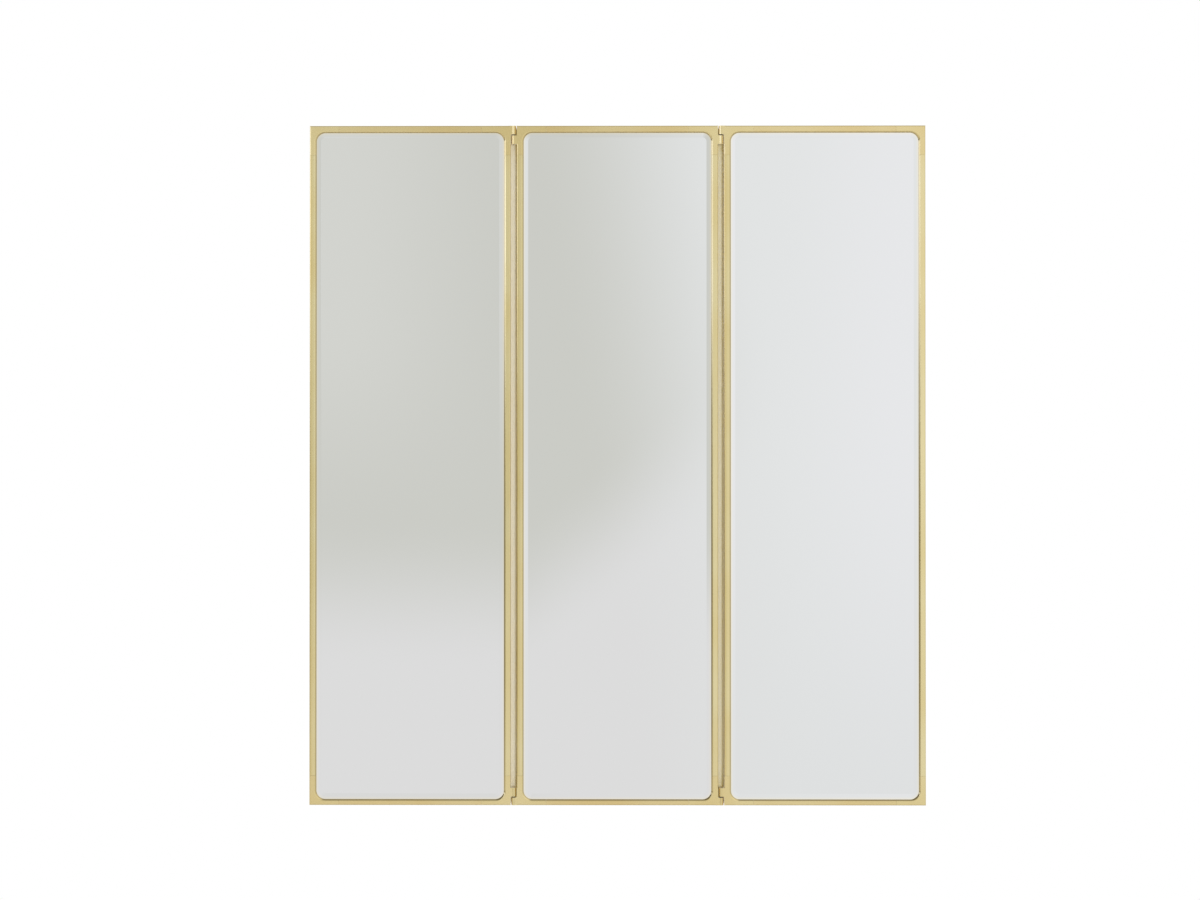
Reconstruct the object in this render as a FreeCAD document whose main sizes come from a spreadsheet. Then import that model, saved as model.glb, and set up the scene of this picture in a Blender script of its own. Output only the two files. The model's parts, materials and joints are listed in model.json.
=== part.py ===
import FreeCAD, Part
import math
import os
import Sketcher

# A wall mirror of three equal panels in slim brass frames. The two wings turn on pins that stand in the middle
# panel's cast corners. Millimetres, +Z up, the mirrors face -Y and the wall is the plane y = 0. The origin lies
# on the wall, midway between the two keyholes that the middle panel hangs by.

doc = FreeCAD.newDocument("wall_mirror")
sheet = doc.addObject("Spreadsheet::Sheet", "Sizes")

DRIVING_SIZES = [
    ("panel_width", 206.2, "outside width of one panel"),
    ("panel_height", 696.0, "outside height of every panel"),
    ("panel_gap", 6.2, "open gap between two panels"),
    ("lip_width", 7.0, "face of a stile, seen from the front"),
    ("top_lip_width", 7.2, "face of a top rail"),
    ("bottom_lip_width", 5.9, "face of a bottom rail"),
    ("flange_width", 6.0, "back flange of the channel and the corners"),
    ("brass_wall", 1.2, "web and back flange of the brass channel"),
    ("lip_thickness", 2.4, "front lip of the channel and the corners"),
    ("glass_thickness", 3.0, "mirror glass"),
    ("liner_thickness", 1.1, "felt sheet behind the glass"),
    ("board_thickness", 5.0, "fibreboard back"),
    ("corner_leg", 30.0, "leg of a cast corner"),
    ("opening_radius", 9.0, "round of the opening at a corner"),
    ("lip_round", 2.0, "round on the lip beside the glass"),
    ("edge_round", 1.0, "round on the outer front edges"),
    ("back_round", 0.4, "round on the outer back edges"),
    ("seam_gap", 0.15, "joint line between a corner and a rail"),
    ("tongue_thickness", 1.2, "tongue of a corner inside a rail"),
    ("tongue_length", 14.0, "reach of the tongue into the rail"),
    ("tongue_clearance", 0.05, "tongue to channel"),
    ("glass_clearance", 0.2, "glass edge to cast corner"),
    ("glass_arris", 0.4, "ground edge at the glass's back"),
    ("bevel_width", 9.0, "ground bevel of the glass, in from its edge"),
    ("glass_seat", 0.3, "flat of the glass in front of the lip's back"),
    ("corner_pin_radius", 1.0, "flush pin through rail and tongue"),
    ("corner_pin_clearance", 0.02, "pin to its hole"),
    ("knuckle_radius", 2.4, "hinge knuckle, level with the front"),
    ("knuckle_length", 8.8, "one hinge knuckle"),
    ("foot_knuckle_length", 7.7, "knuckle at a bottom corner's end"),
    ("lug_recess", 0.4, "lug that carries a knuckle, behind the front"),
    ("hinge_pin_radius", 1.2, "hinge pin"),
    ("hinge_pin_recess", 0.3, "pin end below the knuckle's end"),
    ("hinge_pin_chamfer", 0.25, "pin end"),
    ("pin_seat_clearance", 0.02, "pin in the middle panel's knuckle"),
    ("pin_running_clearance", 0.05, "pin in the wing's knuckle and the washer"),
    ("washer_thickness", 1.0, "thrust washer between two knuckles"),
    ("washer_radius", 1.9, "outside of the washer"),
    ("hinge_play", 0.1, "up and down play of a wing"),
    ("bumper_height", 2.0, "rubber bumper, from the board to the wall"),
    ("bumper_radius", 6.0, "bumper at the board"),
    ("bumper_face_radius", 5.4, "bumper at the wall"),
    ("bumper_inset", 24.0, "bumper centre from the panel's edges"),
    ("hanger_drop", 90.0, "keyhole below the panel's top edge"),
    ("hanger_spacing", 120.0, "between the two keyholes"),
    ("hanger_thickness", 2.0, "keyhole plate"),
    ("hanger_width", 18.0, "keyhole plate"),
    ("hanger_length", 44.0, "keyhole plate"),
    ("hanger_rise", 5.0, "plate centre above the keyhole's entry"),
    ("hanger_corner", 4.0, "round of the plate's corners"),
    ("entry_radius", 4.75, "keyhole entry, for a 4 mm screw's head"),
    ("slot_width", 4.8, "keyhole slot, for a 4 mm screw's shank"),
    ("slot_rise", 10.0, "slot end above the entry"),
    ("rout_width", 12.0, "pocket in the board behind the keyhole"),
    ("rout_depth", 3.6, "pocket in the board behind the keyhole"),
    ("rout_margin", 3.0, "pocket past the entry and the slot"),
    ("screw_end_margin", 5.0, "plate screw from the plate's end"),
    ("screw_radius", 1.5, "plate screw's shank"),
    ("screw_head_radius", 2.9, "plate screw's head"),
    ("screw_length", 6.2, "plate screw"),
    ("screw_clearance", 0.1, "plate screw in plate and board"),
    ("screw_slot_width", 0.8, "driver slot"),
    ("screw_slot_depth", 0.6, "driver slot"),
]

for row, (alias, size, note) in enumerate(DRIVING_SIZES, 1):
    sheet.set("A%d" % row, note)
    sheet.set("B%d" % row, str(size))
    sheet.setAlias("B%d" % row, alias)
doc.recompute()

# Sizes that follow from the driving ones, as expressions.
sheetsDepth = "(Sizes.glass_thickness - Sizes.glass_seat + Sizes.liner_thickness + Sizes.board_thickness)"
frameDepth = "(Sizes.lip_thickness + %s + Sizes.brass_wall)" % sheetsDepth
boardBackY = "(-Sizes.bumper_height)"
boardFrontY = "(%s - Sizes.board_thickness)" % boardBackY
linerFrontY = "(%s - Sizes.liner_thickness)" % boardFrontY
glassFrontY = "(%s - Sizes.glass_thickness)" % linerFrontY
frontY = "(%s + Sizes.glass_seat - Sizes.lip_thickness)" % glassFrontY
topZ = "Sizes.hanger_drop"
bottomZ = "(Sizes.hanger_drop - Sizes.panel_height)"
panelPitch = "(Sizes.panel_width + Sizes.panel_gap)"
tongueOuter = "(Sizes.brass_wall + Sizes.tongue_clearance)"
cornerWall = "(%s + Sizes.tongue_thickness)" % tongueOuter
glassInset = "(%s + Sizes.glass_clearance)" % cornerWall
glassCorner = "(Sizes.opening_radius + Sizes.lip_width - %s)" % glassInset
rimCorner = "(%s + Sizes.glass_clearance)" % glassCorner
widestLip = "max(Sizes.lip_width; Sizes.top_lip_width; Sizes.bottom_lip_width)"
glassUnderLip = "(%s - %s)" % (widestLip, glassInset)
bevelDepth = "(Sizes.glass_seat / (1 - %s / Sizes.bevel_width))" % glassUnderLip  # its slope meets the lip
flangeCorner = "(Sizes.opening_radius + Sizes.lip_width - Sizes.flange_width)"
tongueFront = "(Sizes.lip_thickness + Sizes.tongue_clearance)"
tongueEnd = "(Sizes.corner_leg + Sizes.tongue_length)"
tonguePinAt = "(Sizes.corner_leg + Sizes.tongue_length / 2)"
cornerPinHole = "(Sizes.corner_pin_radius + Sizes.corner_pin_clearance)"
betweenKnuckles = "(Sizes.washer_thickness + Sizes.hinge_play)"
knuckleStep = "(Sizes.knuckle_length + %s)" % betweenKnuckles
footStep = "(Sizes.foot_knuckle_length + %s)" % betweenKnuckles
largestLipRound = 0.85  # part of the lip, since its back edge stays sharp
largestEdgeRound = 0.65  # part of the lip
largestBackRound = 0.4  # part of the wall
lipRound = "min(Sizes.lip_round; %s * Sizes.lip_thickness)" % largestLipRound
edgeRound = "min(Sizes.edge_round; %s * Sizes.lip_thickness)" % largestEdgeRound
backRound = "min(Sizes.back_round; %s * Sizes.brass_wall)" % largestBackRound
plateLow = "(Sizes.hanger_rise - Sizes.hanger_length / 2)"
plateHigh = "(Sizes.hanger_rise + Sizes.hanger_length / 2)"
screwHole = "(Sizes.screw_radius + Sizes.screw_clearance)"

# Each panel by the middle of its width.
panelMiddle = {"left_wing": "(-%s)" % panelPitch, "middle": "0", "right_wing": panelPitch}

subParts = []
nearZero = 1e-4


def value(expression):
    return float(sheet.evalExpression(expression))


def near(a, b):
    return abs(a - b) < nearZero


# Adds a finished piece to the list that is written out, under its own label.
def keep(piece, label):
    piece.Label = label
    subParts.append(piece)
    return piece


def newBody(label):
    return keep(doc.addObject("PartDesign::Body", label), label)


# Places a piece by three expressions, with an optional turn given first.
def place(piece, x, y, z, axis=None, angle=0):
    if axis:
        piece.Placement.Rotation = FreeCAD.Rotation(FreeCAD.Vector(*axis), angle)
    for direction, expression in (("x", x), ("y", y), ("z", z)):
        if expression != "0":
            piece.setExpression("Placement.Base.%s" % direction, expression)


# A sketch on one of the body's own planes, moved along the plane's normal by an expression.
def sketchOn(body, role, name, offset=None):
    sketch = body.newObject("Sketcher::SketchObject", name)
    plane = [f for f in body.Origin.OriginFeatures if f.Role == role][0]
    sketch.AttachmentSupport = (plane, "")
    sketch.MapMode = "FlatFace"
    if offset:
        sketch.setExpression("AttachmentOffset.Base.z", offset)
    return sketch


# Ties one point of a sketch to its two expressions, measured from the sketch's origin.
def tiePoint(sketch, geometry, end, x, y):
    for kind, axis, expression in (("DistanceX", -2, x), ("DistanceY", -1, y)):
        if expression == "0":
            sketch.addConstraint(Sketcher.Constraint("PointOnObject", geometry, end, axis))
            continue
        number = sketch.addConstraint(Sketcher.Constraint(kind, -1, 1, geometry, end, value(expression)))
        sketch.setExpression("Constraints[%d]" % number, expression)


# A closed outline through tied points. Where bend is given, the side that starts at that point is an arc about
# the given centre instead of a line.
def drawOutline(sketch, points, bend=None, centre=None):
    corners = [FreeCAD.Vector(value(x), value(y), 0) for x, y in points]
    sides = []
    for number, (start, end) in enumerate(zip(corners, corners[1:] + corners[:1])):
        if number == bend:
            sides.append(drawArc(sketch, start, end, centre))
        else:
            sides.append((sketch.addGeometry(Part.LineSegment(start, end), False), 1, 2))
    for (side, _, sideEnd), (following, start, _) in zip(sides, sides[1:] + sides[:1]):
        sketch.addConstraint(Sketcher.Constraint("Coincident", side, sideEnd, following, start))
    for (side, start, _), (x, y) in zip(sides, points):
        tiePoint(sketch, side, start, x, y)


# A quarter round from start to end about a centre whose x is tied. Returns the arc and its two ends in order,
# because an arc always runs anticlockwise.
def drawArc(sketch, start, end, centre):
    middle = FreeCAD.Vector(value(centre[0]), value(centre[1]), 0)
    circle = Part.Circle(middle, FreeCAD.Vector(0, 0, 1), (start - middle).Length)
    fromAngle, toAngle = (math.atan2((p - middle).y, (p - middle).x) for p in (start, end))
    forward = (toAngle - fromAngle) % (2 * math.pi) < math.pi
    first, last = (fromAngle, toAngle) if forward else (toAngle, fromAngle)
    arc = sketch.addGeometry(Part.ArcOfCircle(circle, first, last), False)
    number = sketch.addConstraint(Sketcher.Constraint("DistanceX", -1, 1, arc, 3, middle.x))
    sketch.setExpression("Constraints[%d]" % number, centre[0])
    return (arc, 1, 2) if forward else (arc, 2, 1)


def drawRectangle(sketch, x0, y0, x1, y1):
    drawOutline(sketch, [(x0, y0), (x1, y0), (x1, y1), (x0, y1)])


def drawCircle(sketch, x, y, radius):
    centre = FreeCAD.Vector(value(x), value(y), 0)
    circle = sketch.addGeometry(Part.Circle(centre, FreeCAD.Vector(0, 0, 1), value(radius)), False)
    number = sketch.addConstraint(Sketcher.Constraint("Radius", circle, value(radius)))
    sketch.setExpression("Constraints[%d]" % number, radius)
    tiePoint(sketch, circle, 3, x, y)


def pad(body, sketch, name, length, reverse=False):
    feature = body.newObject("PartDesign::Pad", name)
    feature.Profile = sketch
    feature.setExpression("Length", length)
    feature.Reversed = reverse
    return feature


# Cuts a sketch through everything on both of its sides.
def cutThrough(body, sketch, name):
    feature = body.newObject("PartDesign::Pocket", name)
    feature.Profile = sketch
    feature.Type = "ThroughAll"
    feature.Midplane = True
    return feature


# Edges whose start, middle and end all pass a test of place.
def edgesWhere(feature, test):
    names = []
    for number, edge in enumerate(feature.Shape.Edges, 1):
        span = edge.LastParameter - edge.FirstParameter
        points = [edge.valueAt(edge.FirstParameter + span * share) for share in (0.0, 0.5, 1.0)]
        if all(test(p) for p in points):
            names.append("Edge%d" % number)
    return names


# Rounds or bevels the edges of the body's last feature that pass a test of place.
def finishEdges(body, kind, name, test, size):
    doc.recompute()
    base = body.Tip
    names = edgesWhere(base, test)
    if not names:
        raise ValueError("%s found no edges on %s" % (name, body.Label))
    feature = body.newObject("PartDesign::%s" % kind, name)
    feature.Base = (base, names)
    feature.setExpression("Radius" if kind == "Fillet" else "Size", size)
    return feature


# One length of brass channel. In its own frame x runs inward from the outer face, y back from the front and
# z along the length.
def makeRail(label, length, lip="Sizes.lip_width"):
    body = newBody(label)
    profile = sketchOn(body, "XY_Plane", "channelProfile")
    lipBack = "Sizes.lip_thickness"
    flange, wall = "Sizes.flange_width", "Sizes.brass_wall"
    innerBack = "(%s - %s)" % (frameDepth, wall)
    drawOutline(profile, [("0", "0"), (lip, "0"), (lip, lipBack), (wall, lipBack), (wall, innerBack),
                          (flange, innerBack), (flange, frameDepth), ("0", frameDepth)])
    pad(body, profile, "channel", length)
    lipX, depth = value(lip), value(frameDepth)
    finishEdges(body, "Fillet", "lipRound", lambda p: near(p.x, lipX) and near(p.y, 0), lipRound)
    finishEdges(body, "Fillet", "outerRound", lambda p: near(p.x, 0) and near(p.y, 0), edgeRound)
    finishEdges(body, "Fillet", "backRound", lambda p: near(p.x, 0) and near(p.y, depth), backRound)
    holes = sketchOn(body, "YZ_Plane", "pinHoles")
    fromEnd = "(Sizes.tongue_length / 2 - Sizes.seam_gap)"
    for along in (fromEnd, "(%s - %s)" % (length, fromEnd)):
        drawCircle(holes, "%s / 2" % frameDepth, along, cornerPinHole)
    cutThrough(body, holes, "pinHolesCut")
    return body


# One cast corner, its own origin at the outer point of the front face. signX and signZ point inward along its
# two legs, and railLip is the face of the rail that it meets. knuckle gives where its hinge knuckle starts and
# ends, from the corner's end, how far the hinge reaches, and the knuckle's hole.
def makeCorner(label, signX, signZ, railLip, knuckle=None):
    body = newBody(label)

    def across(expression):
        return expression if signX > 0 else "(-%s)" % expression

    def along(expression):
        return expression if signZ > 0 else "(-%s)" % expression

    # An elbow with the given widths of its rail leg and its stile leg, rounded where they meet inside.
    def drawElbow(sketch, railWidth, stileWidth, radius):
        leg = "Sizes.corner_leg"
        bendX, bendZ = ("(%s + %s)" % (width, radius) for width in (stileWidth, railWidth))
        points = [("0", "0"), (across(leg), "0"), (across(leg), along(railWidth)),
                  (across(bendX), along(railWidth)), (across(stileWidth), along(bendZ)),
                  (across(stileWidth), along(leg)), ("0", along(leg))]
        bendStart = 3
        drawOutline(sketch, points, bendStart, (across(bendX), along(bendZ)))

    # The rim round the glass, then the front lip and the back flange.
    rim = sketchOn(body, "XZ_Plane", "rimProfile")
    drawElbow(rim, cornerWall, cornerWall, rimCorner)
    pad(body, rim, "rim", frameDepth, reverse=True)
    front = sketchOn(body, "XZ_Plane", "lipProfile")
    drawElbow(front, railLip, "Sizes.lip_width", "Sizes.opening_radius")
    pad(body, front, "lip", "Sizes.lip_thickness", reverse=True)
    back = sketchOn(body, "XZ_Plane", "flangeProfile", "-(%s - Sizes.brass_wall)" % frameDepth)
    drawElbow(back, "Sizes.flange_width", "Sizes.flange_width", flangeCorner)
    pad(body, back, "flange", "Sizes.brass_wall", reverse=True)

    lipX, lipZ = value("Sizes.lip_width") - nearZero, value(railLip) - nearZero
    depth = value(frameDepth)
    finishEdges(body, "Fillet", "lipRound",
                lambda p: near(p.y, 0) and p.x * signX > lipX and p.z * signZ > lipZ, lipRound)
    finishEdges(body, "Fillet", "outerRound",
                lambda p: (near(p.x, 0) or near(p.z, 0)) and near(p.y, 0), edgeRound)
    finishEdges(body, "Fillet", "backRound",
                lambda p: (near(p.x, 0) or near(p.z, 0)) and near(p.y, depth), backRound)

    # Tongues that enter the two rails, with the holes for their pins.
    tongues = sketchOn(body, "XZ_Plane", "tongueProfile", "-%s" % tongueFront)
    root = "(Sizes.corner_leg - %s)" % cornerWall
    drawRectangle(tongues, across(root), along(tongueOuter), across(tongueEnd), along(cornerWall))
    drawRectangle(tongues, across(tongueOuter), along(root), across(cornerWall), along(tongueEnd))
    pad(body, tongues, "tongues", "(%s - 2 * Sizes.tongue_clearance)" % sheetsDepth, reverse=True)
    railPin = sketchOn(body, "XY_Plane", "railPinHole")
    drawCircle(railPin, across(tonguePinAt), "%s / 2" % frameDepth, cornerPinHole)
    cutThrough(body, railPin, "railPinHoleCut")
    stilePin = sketchOn(body, "YZ_Plane", "stilePinHole")
    drawCircle(stilePin, "%s / 2" % frameDepth, along(tonguePinAt), cornerPinHole)
    cutThrough(body, stilePin, "stilePinHoleCut")

    # The hinge knuckle: a barrel beside the casting, on a lug that lies behind the front. The casting's own
    # edge is left square along the hinge.
    if knuckle:
        knuckleFrom, length, hingeReach, bore = knuckle
        start = along(knuckleFrom)
        axis = "(-%s)" % across("Sizes.panel_gap / 2")
        radius = "Sizes.knuckle_radius"
        square = sketchOn(body, "XY_Plane", "squareEdgeProfile")
        drawRectangle(square, "0", "0", across(edgeRound), edgeRound)
        pad(body, square, "squareEdge", hingeReach, reverse=signZ < 0)
        lug = sketchOn(body, "XY_Plane", "lugProfile", start)
        drawRectangle(lug, across(cornerWall), "Sizes.lug_recess", axis, "2 * %s" % radius)
        pad(body, lug, "lug", length, reverse=signZ < 0)
        barrel = sketchOn(body, "XY_Plane", "barrelProfile", start)
        drawCircle(barrel, axis, radius, radius)
        pad(body, barrel, "barrel", length, reverse=signZ < 0)
        hole = sketchOn(body, "XY_Plane", "boreProfile", start)
        drawCircle(hole, axis, radius, bore)
        cutThrough(body, hole, "bore")
    return body


# A flat sheet that fills the frame: glass, liner or board. Its own origin is at the middle of the panel's
# bottom edge, on the sheet's front face.
def makeSheet(label, thickness):
    body = newBody(label)
    outline = sketchOn(body, "XZ_Plane", "sheetOutline")
    half = "(Sizes.panel_width / 2 - %s)" % glassInset
    drawRectangle(outline, "(-%s)" % half, glassInset, half, "(Sizes.panel_height - %s)" % glassInset)
    pad(body, outline, "sheet", thickness, reverse=True)
    side, low = value(half), value(glassInset)
    high = value("Sizes.panel_height") - low
    finishEdges(body, "Fillet", "sheetCorners",
                lambda p: near(abs(p.x), side) and (near(p.z, low) or near(p.z, high)), glassCorner)
    return body


# The ground arris round the back of a glass, and the wide shallow bevel round its front.
def grindGlass(body):
    back = value("Sizes.glass_thickness")
    finishEdges(body, "Chamfer", "arris", lambda p: near(p.y, back), "Sizes.glass_arris")
    bevel = finishEdges(body, "Chamfer", "bevel", lambda p: near(p.y, 0), bevelDepth)
    bevel.ChamferType = "Two distances"
    bevel.setExpression("Size2", "Sizes.bevel_width")


# Pockets in the middle panel's board: room for a wall screw's head, and the plate screws' pilot holes.
def routBoard(body):
    zero = "Sizes.panel_height - Sizes.hanger_drop"
    before = body.Tip.Shape.Volume
    rout = sketchOn(body, "XZ_Plane", "hangerRouts", "-Sizes.board_thickness")
    pilots = sketchOn(body, "XZ_Plane", "pilotHoles", "-Sizes.board_thickness")
    for side in ("-", ""):
        middle = "(%sSizes.hanger_spacing / 2)" % side
        drawRectangle(rout, "(%s - Sizes.rout_width / 2)" % middle,
                      "(%s - Sizes.entry_radius - Sizes.rout_margin)" % zero,
                      "(%s + Sizes.rout_width / 2)" % middle,
                      "(%s + Sizes.slot_rise + Sizes.slot_width / 2 + Sizes.rout_margin)" % zero)
        for rise in screwRises:
            drawCircle(pilots, middle, "(%s + %s)" % (zero, rise), screwHole)
    for sketch, name, depth in ((rout, "hangerRoutsCut", "Sizes.rout_depth"),
                                (pilots, "pilotHolesCut", "(Sizes.screw_length - Sizes.hanger_thickness"
                                                          " + Sizes.screw_clearance)")):
        cut = body.newObject("PartDesign::Pocket", name)
        cut.Profile = sketch
        cut.setExpression("Length", depth)
        cut.Reversed = True
        doc.recompute()
        if not cut.Shape.Volume < before - nearZero:
            raise ValueError("%s cuts nothing" % name)
        before = cut.Shape.Volume


# Heights of a plate's two screws above the keyhole's entry.
screwRises = ["(%s + Sizes.screw_end_margin)" % plateLow, "(%s - Sizes.screw_end_margin)" % plateHigh]


# A keyhole hanger plate, its own origin at the middle of the keyhole's entry on the board.
def makeHanger(label):
    body = newBody(label)
    outline = sketchOn(body, "XZ_Plane", "plateOutline")
    drawRectangle(outline, "(-Sizes.hanger_width / 2)", plateLow, "Sizes.hanger_width / 2", plateHigh)
    pad(body, outline, "plate", "Sizes.hanger_thickness", reverse=True)
    side, ends = value("Sizes.hanger_width") / 2, (value(plateLow), value(plateHigh))
    finishEdges(body, "Fillet", "plateCorners",
                lambda p: near(abs(p.x), side) and any(near(p.z, z) for z in ends), "Sizes.hanger_corner")
    entry = sketchOn(body, "XZ_Plane", "entryOutline")
    drawCircle(entry, "0", "0", "Sizes.entry_radius")
    cutThrough(body, entry, "keyholeEntry")
    slot = sketchOn(body, "XZ_Plane", "slotOutline")
    drawRectangle(slot, "(-Sizes.slot_width / 2)", "0", "Sizes.slot_width / 2", "Sizes.slot_rise")
    cutThrough(body, slot, "keyholeSlot")
    slotEnd = sketchOn(body, "XZ_Plane", "slotEndOutline")
    drawCircle(slotEnd, "0", "Sizes.slot_rise", "Sizes.slot_width / 2")
    cutThrough(body, slotEnd, "keyholeSlotEnd")
    holes = sketchOn(body, "XZ_Plane", "screwHoles")
    for rise in screwRises:
        drawCircle(holes, "0", rise, screwHole)
    cutThrough(body, holes, "screwHolesCut")
    face, hole, rises = value("Sizes.hanger_thickness"), value(screwHole), [value(rise) for rise in screwRises]
    finishEdges(body, "Chamfer", "countersinks",
                lambda p: near(p.y, face) and any(near((p.x ** 2 + (p.z - z) ** 2) ** 0.5, hole) for z in rises),
                "Sizes.screw_head_radius - Sizes.screw_radius")
    return body


# A round pin along its own z, bevelled at both ends. lowerLength is the knuckle that it is pressed into.
def makeHingePin(label, lowerLength):
    body = newBody(label)
    section = sketchOn(body, "XY_Plane", "pinSection")
    drawCircle(section, "0", "0", "Sizes.hinge_pin_radius")
    length = "(%s + %s + Sizes.knuckle_length - 2 * Sizes.hinge_pin_recess)" % (lowerLength, betweenKnuckles)
    pad(body, section, "pin", length)
    top = value(length)
    finishEdges(body, "Chamfer", "pinEnds", lambda p: near(p.z, 0) or near(p.z, top), "Sizes.hinge_pin_chamfer")
    return body


def makeWasher(label):
    body = newBody(label)
    ring = sketchOn(body, "XY_Plane", "washerRing")
    drawCircle(ring, "0", "0", "Sizes.washer_radius")
    drawCircle(ring, "0", "0", "Sizes.hinge_pin_radius + Sizes.pin_running_clearance")
    pad(body, ring, "washer", "Sizes.washer_thickness")
    return body


# Several loose solids of one kind kept as one piece.
def makeGroup(label, members):
    group = doc.addObject("Part::Compound", label)
    group.Links = members
    return keep(group, label)


# A countersunk slotted screw, driven in along -Y from the face of a hanger plate.
def makeScrew(x, z):
    faceY = "(%s + Sizes.hanger_thickness)" % boardBackY
    head = doc.addObject("Part::Cone", "screwHead")
    head.setExpression("Radius1", "Sizes.screw_head_radius")
    head.setExpression("Radius2", "Sizes.screw_radius")
    head.setExpression("Height", "Sizes.screw_head_radius - Sizes.screw_radius")
    shank = doc.addObject("Part::Cylinder", "screwShank")
    shank.setExpression("Radius", "Sizes.screw_radius")
    shank.setExpression("Height", "Sizes.screw_length")
    whole = doc.addObject("Part::Fuse", "screwBlank")
    whole.Base = head
    whole.Tool = shank
    slot = doc.addObject("Part::Box", "screwSlot")
    slot.setExpression("Length", "2 * Sizes.screw_head_radius")
    slot.setExpression("Width", "Sizes.screw_slot_width")
    slot.setExpression("Height", "Sizes.screw_slot_depth")
    place(slot, "(-Sizes.screw_head_radius)", "(-Sizes.screw_slot_width / 2)", "0")
    screw = doc.addObject("Part::Cut", "hangerScrew")
    screw.Base = whole
    screw.Tool = slot
    place(screw, x, faceY, z, (1, 0, 0), 90)
    return screw


# A rubber bumper on the back of a board, tapered towards the wall.
def makeBumper(x, z):
    bumper = doc.addObject("Part::Cone", "bumper")
    bumper.setExpression("Radius1", "Sizes.bumper_radius")
    bumper.setExpression("Radius2", "Sizes.bumper_face_radius")
    bumper.setExpression("Height", "Sizes.bumper_height")
    place(bumper, x, boardBackY, z, (1, 0, 0), -90)
    return bumper


# A flush pin through a rail's web and the tongue behind it, along the direction that its axis turn gives.
def makeCornerPin(x, z, axis, angle):
    pin = doc.addObject("Part::Cylinder", "cornerPin")
    pin.setExpression("Radius", "Sizes.corner_pin_radius")
    pin.setExpression("Height", cornerWall)
    place(pin, x, "(%s + %s / 2)" % (frontY, frameDepth), z, axis, angle)
    return pin


def makePanel(panel, knuckles):
    middle = panelMiddle[panel]
    leftX = "(%s - Sizes.panel_width / 2)" % middle
    rightX = "(%s + Sizes.panel_width / 2)" % middle
    fromCorner = "(Sizes.corner_leg + Sizes.seam_gap)"
    railLength = "(Sizes.panel_width - 2 * %s)" % fromCorner
    stileLength = "(Sizes.panel_height - 2 * %s)" % fromCorner
    turnAxis = (0, 1, 0)

    # Rails and stiles are one section, turned about Y so that its outer face looks out of the panel.
    place(makeRail(panel + "_left_stile", stileLength), leftX, frontY, "(%s + %s)" % (bottomZ, fromCorner))
    place(makeRail(panel + "_right_stile", stileLength), rightX, frontY, "(%s - %s)" % (topZ, fromCorner),
          turnAxis, 180)
    topLip, bottomLip = "Sizes.top_lip_width", "Sizes.bottom_lip_width"
    place(makeRail(panel + "_top_rail", railLength, topLip), "(%s + %s)" % (leftX, fromCorner), frontY, topZ,
          turnAxis, 90)
    place(makeRail(panel + "_bottom_rail", railLength, bottomLip), "(%s - %s)" % (rightX, fromCorner),
          frontY, bottomZ, turnAxis, -90)

    corners = [("top_left", leftX, topZ, 1, -1), ("top_right", rightX, topZ, -1, -1),
               ("bottom_left", leftX, bottomZ, 1, 1), ("bottom_right", rightX, bottomZ, -1, 1)]
    pins = []
    for corner, x, z, signX, signZ in corners:
        railLip = bottomLip if signZ > 0 else topLip
        casting = makeCorner("%s_%s_corner" % (panel, corner), signX, signZ, railLip, knuckles.get(corner))
        place(casting, x, frontY, z)
        alongX = "(%s %s %s)" % (x, "+" if signX > 0 else "-", tonguePinAt)
        alongZ = "(%s %s %s)" % (z, "+" if signZ > 0 else "-", tonguePinAt)
        pins.append(makeCornerPin(alongX, z, (1, 0, 0), 0 if signZ > 0 else 180))
        pins.append(makeCornerPin(x, alongZ, (0, 1, 0), 90 * signX))
    makeGroup(panel + "_corner_pins", pins)

    glass = makeSheet(panel + "_mirror_glass", "Sizes.glass_thickness")
    place(glass, middle, glassFrontY, bottomZ)
    grindGlass(glass)
    place(makeSheet(panel + "_felt_liner", "Sizes.liner_thickness"), middle, linerFrontY, bottomZ)
    board = makeSheet(panel + "_backing_board", "Sizes.board_thickness")
    place(board, middle, boardFrontY, bottomZ)
    doc.recompute()
    if panel == "middle":
        routBoard(board)

    # The middle stands on four bumpers, a wing on two beside its free edge.
    bumperX = {"left_wing": ["(%s + Sizes.bumper_inset)" % leftX],
               "middle": ["(%s + Sizes.bumper_inset)" % leftX, "(%s - Sizes.bumper_inset)" % rightX],
               "right_wing": ["(%s - Sizes.bumper_inset)" % rightX]}[panel]
    bumperZ = ["(%s - Sizes.bumper_inset)" % topZ, "(%s + Sizes.bumper_inset)" % bottomZ]
    makeGroup(panel + "_bumpers", [makeBumper(x, z) for x in bumperX for z in bumperZ])


# In each hinge the wing's knuckle stands on top of the middle panel's.
seatBore = "(Sizes.hinge_pin_radius + Sizes.pin_seat_clearance)"
runningBore = "(Sizes.hinge_pin_radius + Sizes.pin_running_clearance)"
atEnd = "0"
oneKnuckle, footKnuckle = "Sizes.knuckle_length", "Sizes.foot_knuckle_length"
topReach, bottomReach = ("(%s + %s)" % (step, oneKnuckle) for step in (knuckleStep, footStep))
middleTop = (knuckleStep, oneKnuckle, topReach, seatBore)
middleBottom = (atEnd, footKnuckle, bottomReach, seatBore)
wingTop = (atEnd, oneKnuckle, topReach, runningBore)
wingBottom = (footStep, oneKnuckle, bottomReach, runningBore)
makePanel("left_wing", {"top_right": wingTop, "bottom_right": wingBottom})
makePanel("middle", {"top_left": middleTop, "top_right": middleTop,
                     "bottom_left": middleBottom, "bottom_right": middleBottom})
makePanel("right_wing", {"top_left": wingTop, "bottom_left": wingBottom})

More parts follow.
